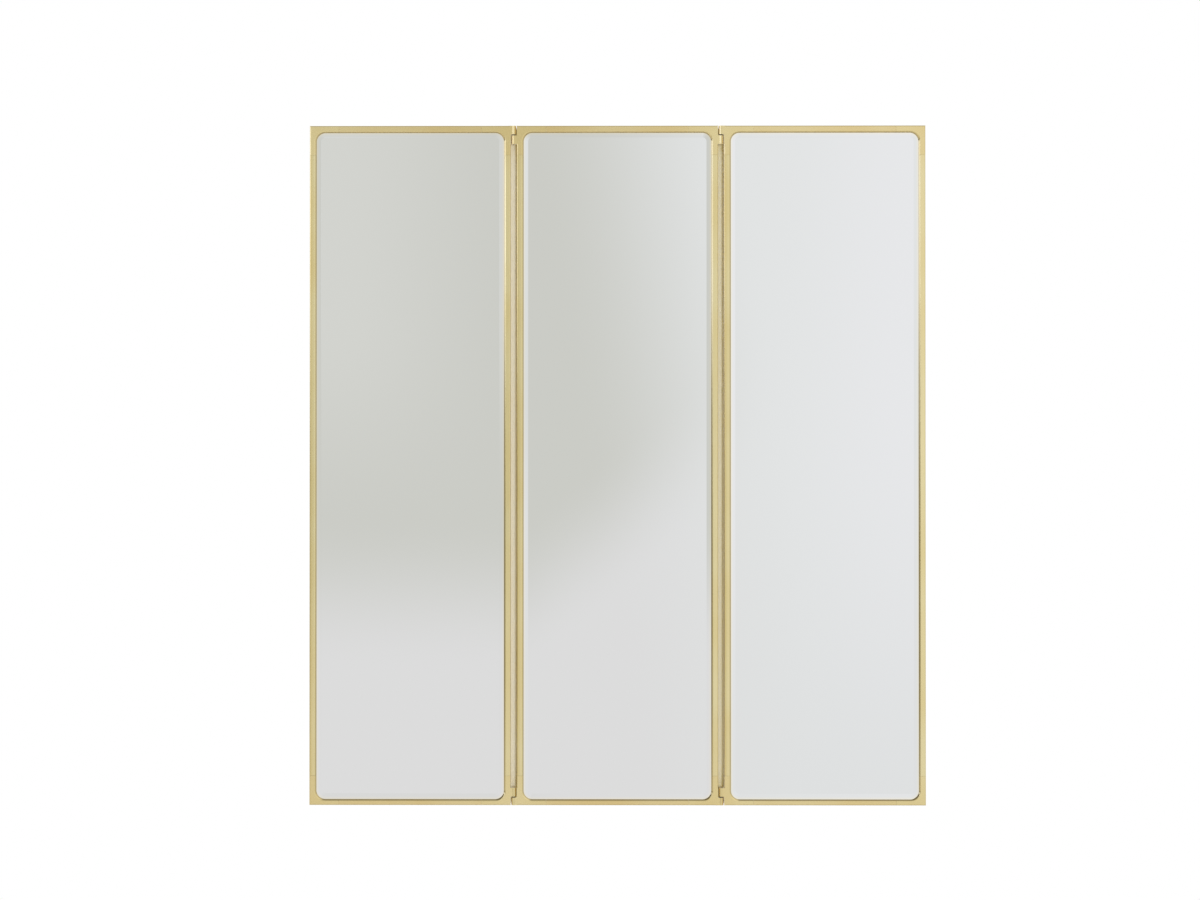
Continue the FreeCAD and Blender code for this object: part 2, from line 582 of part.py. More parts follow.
# Hinge pins stand in the middle panel's knuckles, each with a washer round it under the wing's knuckle.
hingeY = "(%s + Sizes.knuckle_radius)" % frontY
hingeX = {"left": "(-%s / 2)" % panelPitch, "right": "(%s / 2)" % panelPitch}
hingeFoot = {"top": ("(%s - %s)" % (topZ, topReach), oneKnuckle), "bottom": (bottomZ, footKnuckle)}
for side, x in hingeX.items():
    for level, (foot, lowerLength) in hingeFoot.items():
        place(makeHingePin("%s_%s_hinge_pin" % (side, level), lowerLength), x, hingeY,
              "(%s + Sizes.hinge_pin_recess)" % foot)
        place(makeWasher("%s_%s_hinge_washer" % (side, level)), x, hingeY,
              "(%s + %s)" % (foot, lowerLength))

# Keyhole plates on the middle board, and their screws.
screws = []
for side, sign in (("left", "-"), ("right", "")):
    x = "(%sSizes.hanger_spacing / 2)" % sign
    place(makeHanger(side + "_hanger_plate"), x, boardBackY, "0")
    screws += [makeScrew(x, rise) for rise in screwRises]
makeGroup("hanger_screws", screws)

doc.recompute()
for piece in doc.Objects:
    if "Invalid" in piece.State or "Error" in piece.State:
        raise ValueError("%s failed: %s" % (piece.Label, piece.State))
for piece in subParts:
    if piece.Shape.isNull() or not piece.Shape.isValid() or not piece.Shape.Solids:
        raise ValueError("%s has no valid solid" % piece.Label)

os.makedirs("parts", exist_ok=True)
for piece in subParts:
    piece.Shape.exportStep("parts/%s.step" % piece.Label)
print("wrote %d pieces, %d solids" % (len(subParts), sum(len(piece.Shape.Solids) for piece in subParts)))
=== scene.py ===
# Wall mirror of three panels in slim brass frames: finishes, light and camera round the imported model.
import json
import math

import bpy
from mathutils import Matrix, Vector


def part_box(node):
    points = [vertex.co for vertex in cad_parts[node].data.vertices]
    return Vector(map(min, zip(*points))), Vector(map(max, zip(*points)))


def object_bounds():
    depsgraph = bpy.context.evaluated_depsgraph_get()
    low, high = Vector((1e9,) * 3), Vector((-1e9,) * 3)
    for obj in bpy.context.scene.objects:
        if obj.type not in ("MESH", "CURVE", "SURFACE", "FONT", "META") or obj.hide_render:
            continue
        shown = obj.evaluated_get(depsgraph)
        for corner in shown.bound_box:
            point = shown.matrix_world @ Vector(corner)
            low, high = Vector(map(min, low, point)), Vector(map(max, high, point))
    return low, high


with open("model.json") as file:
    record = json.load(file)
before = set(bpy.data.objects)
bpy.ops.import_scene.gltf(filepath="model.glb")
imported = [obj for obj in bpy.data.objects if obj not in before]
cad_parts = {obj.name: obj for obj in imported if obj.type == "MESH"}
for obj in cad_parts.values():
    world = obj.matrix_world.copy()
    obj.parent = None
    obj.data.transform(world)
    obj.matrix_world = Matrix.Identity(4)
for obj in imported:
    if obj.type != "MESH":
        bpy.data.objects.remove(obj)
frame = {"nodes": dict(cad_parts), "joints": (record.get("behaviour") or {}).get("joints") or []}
cadLow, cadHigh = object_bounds()

mm = 0.001  # the scene is in metres


def hexToLinear(text):
    values = [int(text[i:i + 2], 16) / 255 for i in (1, 3, 5)]
    linear = [v / 12.92 if v <= 0.04045 else ((v + 0.055) / 1.055) ** 2.4 for v in values]
    return (*linear, 1.0)


# Adds one node. inputs maps a socket to a value, or to the output that feeds it. settings are the
# node's own.
def addNode(tree, kind, inputs=None, **settings):
    node = tree.nodes.new(kind)
    for name, setting in settings.items():
        setattr(node, name, setting)
    for socket, given in (inputs or {}).items():
        if isinstance(given, bpy.types.NodeSocket):
            tree.links.new(given, node.inputs[socket])
        else:
            node.inputs[socket].default_value = given
    return node


colourFactor, colourA, colourB, colourOut = 0, 6, 7, 2  # a Mix node's sockets when it mixes colours


def newMaterial(name):
    material = bpy.data.materials.new(name)
    material.use_nodes = True
    material.node_tree.nodes.clear()
    return material, material.node_tree


# Camera: straight ahead of the middle, as far away as a long portrait lens stands, and aimed a little
# up and to the left, which puts the mirror below and right of the middle of the picture.
photo = {
    "width": 1200, "height": 900,                # pixels
    "objectLeft": 309.3, "objectRight": 925.45,  # pixels, outer edges of the two wings
    "objectTop": 125.35, "objectBottom": 805.0,
}
cameraSetup = {
    "distance": 2.5,    # metres from the frames' front
    "sensor": 36.0,     # millimetres
    "clipStart": 0.05,  # metres
}


def makeCamera():
    scale = (cadHigh.x - cadLow.x) / (photo["objectRight"] - photo["objectLeft"])  # metres a pixel
    aside = (photo["objectLeft"] + photo["objectRight"] - photo["width"]) / 2
    below = (photo["objectTop"] + photo["objectBottom"] - photo["height"]) / 2
    distance = cameraSetup["distance"]
    data = bpy.data.cameras.new("photoCamera")
    data.sensor_width = cameraSetup["sensor"]
    data.lens = cameraSetup["sensor"] * distance / (photo["width"] * scale)
    data.clip_start = cameraSetup["clipStart"]
    camera = bpy.data.objects.new("photoCamera", data)
    camera.location = ((cadLow.x + cadHigh.x) / 2, cadLow.y - distance, (cadLow.z + cadHigh.z) / 2)
    aimUp, aimLeft = (math.atan(pixels * scale / distance) for pixels in (below, aside))
    camera.rotation_euler = (math.pi / 2 + aimUp, 0, aimLeft)
    bpy.context.scene.collection.objects.link(camera)
    bpy.context.scene.camera = camera
    print("camera: %.1f mm lens, %.4f mm a pixel" % (data.lens, scale / mm))


makeCamera()

# Outlines on the panels that the finishes follow, in millimetres, worked out from the frame: the
# opening, and the flat of the glass inside its ground bevel.
bevel = {
    "width": 9.0,    # mm in from the glass's edge
    "depth": 0.607,  # mm at that edge
    "index": 1.52,   # float glass
}
hingeAxis = abs(frame["joints"][0]["pos_m"][0]) / mm
panel = {"pitch": 2 * hingeAxis, "halfWidth": -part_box("middle_left_stile")[0].x / mm}
opening = {
    "halfWidth": -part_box("middle_left_stile")[1].x / mm,
    "top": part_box("middle_top_rail")[0].z / mm,
    "bottom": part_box("middle_bottom_rail")[1].z / mm,
    "radius": 9.0,  # of the frame's inner corners
}
glassLow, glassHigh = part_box("middle_mirror_glass")
glassFlat = {
    "halfWidth": glassHigh.x / mm - bevel["width"],
    "top": glassHigh.z / mm - bevel["width"],
    "bottom": glassLow.z / mm + bevel["width"],
}
glassFlat["radius"] = opening["radius"] - (opening["halfWidth"] - glassFlat["halfWidth"])


# Two places in millimetres: the distance from an outline on the nearest panel, positive outside it,
# and the distance from that panel's left side. The panels are alike, so x is wrapped to one of them.
def placeOnPanel(tree, position, outline):
    inMm = addNode(tree, "ShaderNodeVectorMath", {0: position, "Scale": 1 / mm}, operation="SCALE")
    axes = addNode(tree, "ShaderNodeSeparateXYZ", {0: inMm.outputs[0]})
    half = panel["pitch"] / 2
    local = addNode(tree, "ShaderNodeMath", {0: axes.outputs["X"], 1: half, 2: -half}, operation="WRAP")
    across = addNode(tree, "ShaderNodeMath", {0: local.outputs[0]}, operation="ABSOLUTE")
    middle = (outline["top"] + outline["bottom"]) / 2
    height = addNode(tree, "ShaderNodeMath", {0: axes.outputs["Z"], 1: middle}, operation="SUBTRACT")
    along = addNode(tree, "ShaderNodeMath", {0: height.outputs[0]}, operation="ABSOLUTE")
    radius = outline["radius"]
    straightX = outline["halfWidth"] - radius
    straightZ = (outline["top"] - outline["bottom"]) / 2 - radius
    pastX = addNode(tree, "ShaderNodeMath", {0: across.outputs[0], 1: straightX}, operation="SUBTRACT")
    pastZ = addNode(tree, "ShaderNodeMath", {0: along.outputs[0], 1: straightZ}, operation="SUBTRACT")
    outX = addNode(tree, "ShaderNodeMath", {0: pastX.outputs[0], 1: 0.0}, operation="MAXIMUM")
    outZ = addNode(tree, "ShaderNodeMath", {0: pastZ.outputs[0], 1: 0.0}, operation="MAXIMUM")
    outside = addNode(tree, "ShaderNodeCombineXYZ", {"X": outX.outputs[0], "Z": outZ.outputs[0]})
    reach = addNode(tree, "ShaderNodeVectorMath", {0: outside.outputs[0]}, operation="LENGTH")
    edge = addNode(tree, "ShaderNodeMath", {0: reach.outputs["Value"], 1: radius}, operation="SUBTRACT")
    fromLeft = addNode(tree, "ShaderNodeMath", {0: local.outputs[0], 1: panel["halfWidth"]},
                       operation="ADD")
    return edge.outputs[0], fromLeft.outputs[0]


# Brushed and lacquered brass. Brushing draws the highlights out along each length and the lacquer keeps
# it pale. A painted shade darkens and yellows it along each panel's left side, and beside the glass it
# is darker with tarnish and painted shade. The rails have a darker copy of the tones, a painted shade.
brass = {
    "stile": ("#F0E1AE", "#ECD99F"),
    # the rails' tones are a darker copy of the stiles' tones, a painted shade
    "rail": ("#EDD9A2", "#E8CF92"),
    "corner": ("#EFDDA6", "#E9D294"),
    "toneSize": 70.0,              # mm, clouding of the lacquer
    "toneRange": (0.35, 0.7),      # noise levels of the two tones
    "brushAcross": 0.9,            # mm; real brush marks are under 0.1, drawn this coarse to show
    "brushAlong": 60.0,            # mm
    "castGrain": 1.4,              # mm, skin of the cast corners
    "turnedGrain": 0.3,            # mm, pins
    "markRange": (0.3, 0.7),       # noise levels of the smoothest and the roughest marks
    "roughLow": 0.11, "roughHigh": 0.19,
    "markDepth": 0.004,            # mm
    "lacquer": 0.25, "lacquerRoughness": 0.06,
    # painted shade: a darker, yellower band along each panel's left side
    "leftSideShade": "#CFAF45", "leftSideShadeShare": 0.32,
    "leftSideShadeWidth": 4.5,          # mm in from a panel's left side
    # tarnish and painted shade: darker beside the glass, where the lip meets it
    "tarnishAndShade": "#8E7A4C",
    "tarnishAndShadeWidth": 1.8,           # mm out from the glass
    "tarnishAndShadeStile": 0.62, "tarnishAndShadeRail": 0.4, "tarnishAndShadeCorner": 0.5,
}


def makeBrass(name, tones, grain, tarnishAndShadeShare, leftSideShadeShare=0.0):
    material, tree = newMaterial(name)
    position = addNode(tree, "ShaderNodeTexCoord").outputs["Object"]
    perMetre = tuple(1 / (size * mm) for size in grain)
    stretched = addNode(tree, "ShaderNodeMapping", {"Vector": position, "Scale": perMetre})
    marks = addNode(tree, "ShaderNodeTexNoise",
                    {"Vector": stretched.outputs[0], "Scale": 1.0, "Detail": 4.0, "Roughness": 0.6})
    clouds = addNode(tree, "ShaderNodeTexNoise",
                     {"Vector": position, "Scale": 1 / (brass["toneSize"] * mm), "Detail": 2.0})
    warmth = addNode(tree, "ShaderNodeMapRange",
                     {"Value": clouds.outputs["Fac"], "From Min": brass["toneRange"][0],
                      "From Max": brass["toneRange"][1]})
    toned = addNode(tree, "ShaderNodeMix",
                    {colourFactor: warmth.outputs[0], colourA: hexToLinear(tones[0]),
                     colourB: hexToLinear(tones[1])}, data_type="RGBA")
    edge, fromLeft = placeOnPanel(tree, position, opening)
    # painted shade along the panel's left side
    leftSideShade = addNode(tree, "ShaderNodeMapRange",
                       {"Value": fromLeft, "From Min": 0.0, "From Max": brass["leftSideShadeWidth"],
                        "To Min": leftSideShadeShare, "To Max": 0.0}, interpolation_type="SMOOTHSTEP")
    leftSideShaded = addNode(tree, "ShaderNodeMix",
                   {colourFactor: leftSideShade.outputs[0], colourA: toned.outputs[colourOut],
                    colourB: hexToLinear(brass["leftSideShade"])}, data_type="RGBA")
    # tarnish and painted shade beside the glass
    tarnishAndShade = addNode(tree, "ShaderNodeMapRange",
                      {"Value": edge, "From Min": 0.0, "From Max": brass["tarnishAndShadeWidth"],
                       "To Min": tarnishAndShadeShare, "To Max": 0.0}, interpolation_type="SMOOTHSTEP")
    colour = addNode(tree, "ShaderNodeMix",
                     {colourFactor: tarnishAndShade.outputs[0], colourA: leftSideShaded.outputs[colourOut],
                      colourB: hexToLinear(brass["tarnishAndShade"])}, data_type="RGBA")
    rough = addNode(tree, "ShaderNodeMapRange",
                    {"Value": marks.outputs["Fac"], "From Min": brass["markRange"][0],
                     "From Max": brass["markRange"][1], "To Min": brass["roughLow"],
                     "To Max": brass["roughHigh"]})
    bump = addNode(tree, "ShaderNodeBump",
                   {"Height": marks.outputs["Fac"], "Strength": 1.0, "Distance": brass["markDepth"] * mm})
    shader = addNode(tree, "ShaderNodeBsdfPrincipled",
                     {"Base Color": colour.outputs[colourOut], "Metallic": 1.0,
                      "Roughness": rough.outputs[0], "Normal": bump.outputs[0],
                      "Coat Weight": brass["lacquer"], "Coat Roughness": brass["lacquerRoughness"]})
    addNode(tree, "ShaderNodeOutputMaterial", {"Surface": shader.outputs[0]})
    return material


# Silvered float glass. The silver gives nearly all of the light back, a painted warm reflection of the
# brass lip lies on the glass beside it, and fingers leave a haze that only shows at a slant. The ground
# bevel is a prism in front of the silver: it bends what is seen in it towards the middle of the glass,
# so it acts like a mirror that leans inward.
silver = {
    "face": "#F3F3F3", "paintedLipReflection": "#FBF6EA",
    "lipReflectionWidth": 3.0,             # mm into the glass
    "hazeSize": 55.0,           # mm
    "hazeRange": (0.45, 0.75),  # noise levels of clean glass and of the thickest haze
    "roughLow": 0.0, "roughHigh": 0.025,
}


def makeMirror():
    material, tree = newMaterial("silveredFloatGlass")
    position = addNode(tree, "ShaderNodeTexCoord").outputs["Object"]
    haze = addNode(tree, "ShaderNodeTexNoise",
                   {"Vector": position, "Scale": 1 / (silver["hazeSize"] * mm), "Detail": 5.0,
                    "Roughness": 0.65})
    rough = addNode(tree, "ShaderNodeMapRange",
                    {"Value": haze.outputs["Fac"], "From Min": silver["hazeRange"][0],
                     "From Max": silver["hazeRange"][1], "To Min": silver["roughLow"],
                     "To Max": silver["roughHigh"]})
    edge, _ = placeOnPanel(tree, position, opening)
    # painted reflection of the brass lip, warm and pale on the glass beside it
    lipReflectionShare = addNode(tree, "ShaderNodeMapRange",
                   {"Value": edge, "From Min": -silver["lipReflectionWidth"], "From Max": 0.0},
                   interpolation_type="SMOOTHSTEP")
    colour = addNode(tree, "ShaderNodeMix",
                     {colourFactor: lipReflectionShare.outputs[0], colourA: hexToLinear(silver["face"]),
                      colourB: hexToLinear(silver["paintedLipReflection"])}, data_type="RGBA")
    pastFlat, _ = placeOnPanel(tree, position, glassFlat)
    onBevel = addNode(tree, "ShaderNodeMath", {0: pastFlat, 1: 0.0}, operation="MAXIMUM")
    lean = bevel["index"] * bevel["depth"] / bevel["width"]  # undoes the bevel's slope, then leans in
    bend = addNode(tree, "ShaderNodeBump",
                   {"Height": onBevel.outputs[0], "Strength": 1.0, "Distance": lean * mm})
    shader = addNode(tree, "ShaderNodeBsdfPrincipled",
                     {"Base Color": colour.outputs[colourOut], "Metallic": 1.0,
                      "Roughness": rough.outputs[0], "Normal": bend.outputs[0]})
    addNode(tree, "ShaderNodeOutputMaterial", {"Surface": shader.outputs[0]})
    return material


# Pressed wood fibre: an even tan with short light and dark fibres that lie every way, dull all over.
# Real fibres are about 3 by 0.05 mm, drawn thicker to show.
fibreboard = {
    "tan": "#B4946C", "pressed": "#AC8C65",
    "pressing": 60.0,              # mm, uneven pressing
    "pressingRange": (0.35, 0.7),  # noise levels of the two tones
    "fibreLength": 4.0,            # mm
    "fibreWidth": 0.7,             # mm
    "fibreRange": (0.52, 0.72),    # noise levels where a fibre starts and fills
    "fibres": ((15, "#7E6243"), (70, "#CDB18A"), (125, "#846849"), (160, "#C8AB82")),  # degrees, colour
    "relief": 0.05,                # mm
    "reliefStrength": 0.6,
    "rough": 0.82,
}


def makeFibreboard():
    material, tree = newMaterial("pressedFibreboard")
    position = addNode(tree, "ShaderNodeTexCoord").outputs["Object"]
    clouds = addNode(tree, "ShaderNodeTexNoise",
                     {"Vector": position, "Scale": 1 / (fibreboard["pressing"] * mm), "Detail": 3.0})
    uneven = addNode(tree, "ShaderNodeMapRange",
                     {"Value": clouds.outputs["Fac"], "From Min": fibreboard["pressingRange"][0],
                      "From Max": fibreboard["pressingRange"][1]})
    colour = addNode(tree, "ShaderNodeMix",
                     {colourFactor: uneven.outputs[0], colourA: hexToLinear(fibreboard["tan"]),
                      colourB: hexToLinear(fibreboard["pressed"])}, data_type="RGBA")
    width, length = fibreboard["fibreWidth"] * mm, fibreboard["fibreLength"] * mm
    for turn, tone in fibreboard["fibres"]:
        lying = addNode(tree, "ShaderNodeMapping",
                        {"Vector": position, "Rotation": (0, math.radians(turn), 0),
                         "Scale": (length, width, width)}, vector_type="TEXTURE")
        fibres = addNode(tree, "ShaderNodeTexNoise",
                         {"Vector": lying.outputs[0], "Scale": 1.0, "Detail": 3.0, "Distortion": 0.6})
        shown = addNode(tree, "ShaderNodeMapRange",
                        {"Value": fibres.outputs["Fac"], "From Min": fibreboard["fibreRange"][0],
                         "From Max": fibreboard["fibreRange"][1]})
        colour = addNode(tree, "ShaderNodeMix",
                         {colourFactor: shown.outputs[0], colourA: colour.outputs[colourOut],
                          colourB: hexToLinear(tone)}, data_type="RGBA")
    bump = addNode(tree, "ShaderNodeBump",
                   {"Height": fibres.outputs["Fac"], "Strength": fibreboard["reliefStrength"],
                    "Distance": fibreboard["relief"] * mm})
    shader = addNode(tree, "ShaderNodeBsdfPrincipled",
                     {"Base Color": colour.outputs[colourOut], "Roughness": fibreboard["rough"],
                      "Normal": bump.outputs[0]})
    addNode(tree, "ShaderNodeOutputMaterial", {"Surface": shader.outputs[0]})
    return material


# The small pieces share one build: a colour that a fine noise breaks up, and a roughness that follows.
# The grain is in millimetres.
smallFinishes = {
    # Wool felt: nearly black, with no highlight at all.
    "woolFelt": {"tones": ("#232427", "#3A3B3F"), "grain": 0.7, "rough": (0.9, 1.0), "metal": 0.0},
    # Moulded rubber: black with a wide dull highlight.
    "mouldedRubber": {"tones": ("#1A1A1B", "#29292A"), "grain": 0.5, "rough": (0.55, 0.75), "metal": 0.0},
    # Nylon with graphite: dark brown-grey with a low sheen.
    "graphiteNylon": {"tones": ("#2A2825", "#3A3733"), "grain": 0.4, "rough": (0.4, 0.55), "metal": 0.0},
    # Zinc-plated steel: cool pale grey, soft and a little cloudy.
    "zincPlatedSteel": {"tones": ("#B4B9BD", "#CDD0D0"), "grain": 2.5, "rough": (0.28, 0.42), "metal": 1.0},
    # Yellow zinc on steel: straw yellow that varies, a little shinier than the plates.
    "yellowZincSteel": {"tones": ("#B49656", "#D0B680"), "grain": 1.0, "rough": (0.25, 0.4), "metal": 1.0},
}
smallGrain = {
    "range": (0.3, 0.7),  # noise levels of the two tones
    "relief": 0.02,       # mm
    "reliefStrength": 0.5,
}


def makeSmallFinish(name):
    finish = smallFinishes[name]
    material, tree = newMaterial(name)
    position = addNode(tree, "ShaderNodeTexCoord").outputs["Object"]
    grain = addNode(tree, "ShaderNodeTexNoise",
                    {"Vector": position, "Scale": 1 / (finish["grain"] * mm), "Detail": 4.0,
                     "Roughness": 0.6})
    spread = addNode(tree, "ShaderNodeMapRange",
                     {"Value": grain.outputs["Fac"], "From Min": smallGrain["range"][0],
                      "From Max": smallGrain["range"][1]})
    colour = addNode(tree, "ShaderNodeMix",
                     {colourFactor: spread.outputs[0], colourA: hexToLinear(finish["tones"][0]),
                      colourB: hexToLinear(finish["tones"][1])}, data_type="RGBA")
    rough = addNode(tree, "ShaderNodeMapRange",
                    {"Value": grain.outputs["Fac"], "From Min": smallGrain["range"][0],
                     "From Max": smallGrain["range"][1], "To Min": finish["rough"][0],
                     "To Max": finish["rough"][1]})
    bump = addNode(tree, "ShaderNodeBump",
                   {"Height": grain.outputs["Fac"], "Strength": smallGrain["reliefStrength"],
                    "Distance": smallGrain["relief"] * mm})
    shader = addNode(tree, "ShaderNodeBsdfPrincipled",
                     {"Base Color": colour.outputs[colourOut], "Metallic": finish["metal"],
                      "Roughness": rough.outputs[0], "Normal": bump.outputs[0]})
    addNode(tree, "ShaderNodeOutputMaterial", {"Surface": shader.outputs[0]})
    return material


fine, long, cast, turned = (brass[k] for k in ("brushAcross", "brushAlong", "castGrain", "turnedGrain"))
finishes = {
    "stile": makeBrass("brushedBrassStile", brass["stile"], (fine, fine, long), brass["tarnishAndShadeStile"],
                       brass["leftSideShadeShare"]),
    "rail": makeBrass("brushedBrassRailShaded", brass["rail"], (long, fine, fine), brass["tarnishAndShadeRail"]),
    "corner": makeBrass("castBrass", brass["corner"], (cast, cast, cast), brass["tarnishAndShadeCorner"]),
    "pin": makeBrass("turnedBrass", brass["stile"], (turned, turned, turned), brass["tarnishAndShadeCorner"]),
    "glass": makeMirror(),
    "liner": makeSmallFinish("woolFelt"),
    "board": makeFibreboard(),
    "bumpers": makeSmallFinish("mouldedRubber"),
    "washer": makeSmallFinish("graphiteNylon"),
    "plate": makeSmallFinish("zincPlatedSteel"),
    "screws": makeSmallFinish("yellowZincSteel"),
}
finishes["pins"] = finishes["pin"]

for name, node in frame["nodes"].items():
    node.data.materials.clear()
    node.data.materials.append(finishes[name.split("_")[-1]])  # a node's last word says what it is
print("finishes: %d kinds of piece, %d nodes" % (len(finishes), len(frame["nodes"])))

# Studio: what the mirrors and the brass give back, as tones laid over one another. A tone has a name, a
# colour, a strength and what it follows, where its share grows from nothing at the first value to all at
# the second. x, y and z are the parts of a ray's direction. aside and up are its steps to the right and
# upward for one step forward from the mirrors, leaning is aside along a slant, and overEdge is the height
# over a soft edge that rises to the right.
studio = {
    "backdrop": "#FFFFFF",  # what the camera sees round the mirror
    "leastForward": 0.05,
    "lean": 0.17, "leanLevel": 0.044,
    "edgeRise": 0.8, "edgeRiseFrom": -0.037,
    "dim": "#D5D6D0",
    "room": (
        ("dimLeft", "#DDDED9", 1.0, ("aside", -0.037, -0.117), ("up", -0.031, 0.061)),
        ("low", "#E7E7E7", 1.0, ("overEdge", -0.02, -0.084)),
        ("right", "#EDEFEF", 1.0, ("leaning", -0.022, 0.068)),
        ("farRight", "#F2F3F5", 1.0, ("aside", 0.053, 0.123)),
        ("lowRight", "#E7E9E9", 1.0, ("leaning", -0.022, 0.068), ("up", 0.036, -0.214)),
        ("shade", "#D4D4D0", 1.0, ("x", 0.27, 0.5)),
        ("farWall", "#E8E8E6", 1.0, ("x", 0.62, 0.9)),
        ("ceiling", "#B4B4B2", 1.0, ("z", 0.25, 0.55)),
        ("skylight", "#F6F6F4", 1.0, ("x", 0.12, 0.3), ("z", 0.14, 0.24)),
    ),
    "sill": "#A9A89E",
    "windowSide": (
        ("foot", "#E8E7E3", 1.0, ("z", -0.1, -0.15)),
        ("window", "#E2E8FF", 1.85, ("z", 0.018, 0.078)),
        ("lintel", "#8E8D88", 1.0, ("z", 0.15, 0.2)),
    ),
    "windowPlace": ("x", -0.13, -0.26),
    "behind": ("behind", "#E6E5E2", 1.0, ("y", 0.0, 0.3)),  # the pale wall that the mirror hangs on
}


def layTones(tree, places, colour, layers):
    for name, tone, strength, *follows in layers:
        share = 1.0
        for place, start, full in follows:
            grown = addNode(tree, "ShaderNodeMapRange",
                            {"Value": places[place], "From Min": start, "From Max": full},
                            interpolation_type="SMOOTHSTEP")
            both = addNode(tree, "ShaderNodeMath", {0: grown.outputs[0], 1: share}, operation="MULTIPLY")
            share = both.outputs[0]
        if isinstance(tone, str):
            tone = (*(part * strength for part in hexToLinear(tone)[:3]), 1.0)
        laid = addNode(tree, "ShaderNodeMix", {colourFactor: share, colourA: colour, colourB: tone},
                       data_type="RGBA", label=name)
        colour = laid.outputs[colourOut]
    return colour


def makeStudioLight():
    world = bpy.data.worlds.new("softStudio")
    bpy.context.scene.world = world
    world.use_nodes = True
    tree = world.node_tree
    tree.nodes.clear()
    direction = addNode(tree, "ShaderNodeTexCoord").outputs["Generated"]
    axes = addNode(tree, "ShaderNodeSeparateXYZ", {0: direction})
    places = {axis.lower(): axes.outputs[axis] for axis in "XYZ"}
    ahead = addNode(tree, "ShaderNodeMath", {0: places["y"], 1: -1.0}, operation="MULTIPLY")
    forward = addNode(tree, "ShaderNodeMath", {0: ahead.outputs[0], 1: studio["leastForward"]},
                      operation="MAXIMUM")
    for place, axis in (("aside", "x"), ("up", "z")):
        slope = addNode(tree, "ShaderNodeMath", {0: places[axis], 1: forward.outputs[0]},
                        operation="DIVIDE")
        places[place] = slope.outputs[0]
    overLevel = addNode(tree, "ShaderNodeMath", {0: places["up"], 1: studio["leanLevel"]},
                        operation="SUBTRACT")
    leaning = addNode(tree, "ShaderNodeMath",
                      {0: overLevel.outputs[0], 1: studio["lean"], 2: places["aside"]},
                      operation="MULTIPLY_ADD")
    places["leaning"] = leaning.outputs[0]
    pastRise = addNode(tree, "ShaderNodeMath", {0: places["aside"], 1: studio["edgeRiseFrom"]},
                       operation="SUBTRACT")
    rising = addNode(tree, "ShaderNodeMath", {0: pastRise.outputs[0], 1: 0.0}, operation="MAXIMUM")
    overEdge = addNode(tree, "ShaderNodeMath",
                       {0: rising.outputs[0], 1: -studio["edgeRise"], 2: places["up"]},
                       operation="MULTIPLY_ADD")
    places["overEdge"] = overEdge.outputs[0]

    # The soft room ahead and to the right, then the window side to the left, then the wall behind.
    room = layTones(tree, places, hexToLinear(studio["dim"]), studio["room"])
    windowSide = layTones(tree, places, hexToLinear(studio["sill"]), studio["windowSide"])
    around = (("windowSide", windowSide, 1.0, studio["windowPlace"]), studio["behind"])
    field = layTones(tree, places, room, around)

    path = addNode(tree, "ShaderNodeLightPath")
    seen = addNode(tree, "ShaderNodeMix",
                   {colourFactor: path.outputs["Is Camera Ray"], colourA: field,
                    colourB: hexToLinear(studio["backdrop"])}, data_type="RGBA")
    background = addNode(tree, "ShaderNodeBackground", {"Color": seen.outputs[colourOut], "Strength": 1.0})
    addNode(tree, "ShaderNodeOutputWorld", {"Surface": background.outputs[0]})


makeStudioLight()

keyLight = {
    "aside": 8.5, "up": -1.5,        # degrees from straight ahead
    "distance": 8.0, "size": 1.7,    # metres
    "power": 280.0,                  # watts
}


def makeKeyLight():
    data = bpy.data.lights.new("keySoftbox", "AREA")
    data.shape = "DISK"
    data.size = keyLight["size"]
    data.energy = keyLight["power"]
    light = bpy.data.objects.new("keySoftbox", data)
    aside, up = math.radians(keyLight["aside"]), math.radians(keyLight["up"])
    away = Vector((math.sin(aside) * math.cos(up), -math.cos(aside) * math.cos(up), math.sin(up)))
    light.location = (cadLow + cadHigh) / 2 + away * keyLight["distance"]
    light.rotation_mode = "QUATERNION"
    light.rotation_quaternion = away.to_track_quat("Z", "Y")
    light.visible_glossy = False  # the studio already gives the mirrors their bright side
    bpy.context.scene.collection.objects.link(light)


makeKeyLight()


def makeStageFace(name, corners, material):
    mesh = bpy.data.meshes.new(name)
    mesh.from_pydata(corners, [], [list(range(len(corners)))])
    mesh.materials.append(material)
    thing = bpy.data.objects.new(name, mesh)
    bpy.context.scene.collection.objects.link(thing)
    return thing


# Painted floor: pale and matt, and it fades out at its rim.
floor = {
    "colour": "#F3F2EE",
    "drop": 0.7,                   # metres below the mirror
    "solid": 1.0, "radius": 2.4,   # metres, where it starts to fade and where it ends
    "sides": 96,
}


def makeFloor():
    material, tree = newMaterial("paleFloor")
    position = addNode(tree, "ShaderNodeTexCoord").outputs["Object"]
    level = addNode(tree, "ShaderNodeVectorMath", {0: position, 1: (1, 1, 0)}, operation="MULTIPLY")
    reach = addNode(tree, "ShaderNodeVectorMath", {0: level.outputs[0]}, operation="LENGTH")
    fade = addNode(tree, "ShaderNodeMapRange",
                   {"Value": reach.outputs["Value"], "From Min": floor["solid"],
                    "From Max": floor["radius"]}, interpolation_type="SMOOTHSTEP")
    paint = addNode(tree, "ShaderNodeBsdfDiffuse", {"Color": hexToLinear(floor["colour"])})
    clear = addNode(tree, "ShaderNodeBsdfTransparent")
    shader = addNode(tree, "ShaderNodeMixShader",
                     {0: fade.outputs[0], 1: paint.outputs[0], 2: clear.outputs[0]})
    addNode(tree, "ShaderNodeOutputMaterial", {"Surface": shader.outputs[0]})
    height, radius = cadLow.z - floor["drop"], floor["radius"]
    turns = [2 * math.pi * i / floor["sides"] for i in range(floor["sides"])]
    makeStageFace("floor", [(radius * math.cos(t), radius * math.sin(t), height) for t in turns], material)


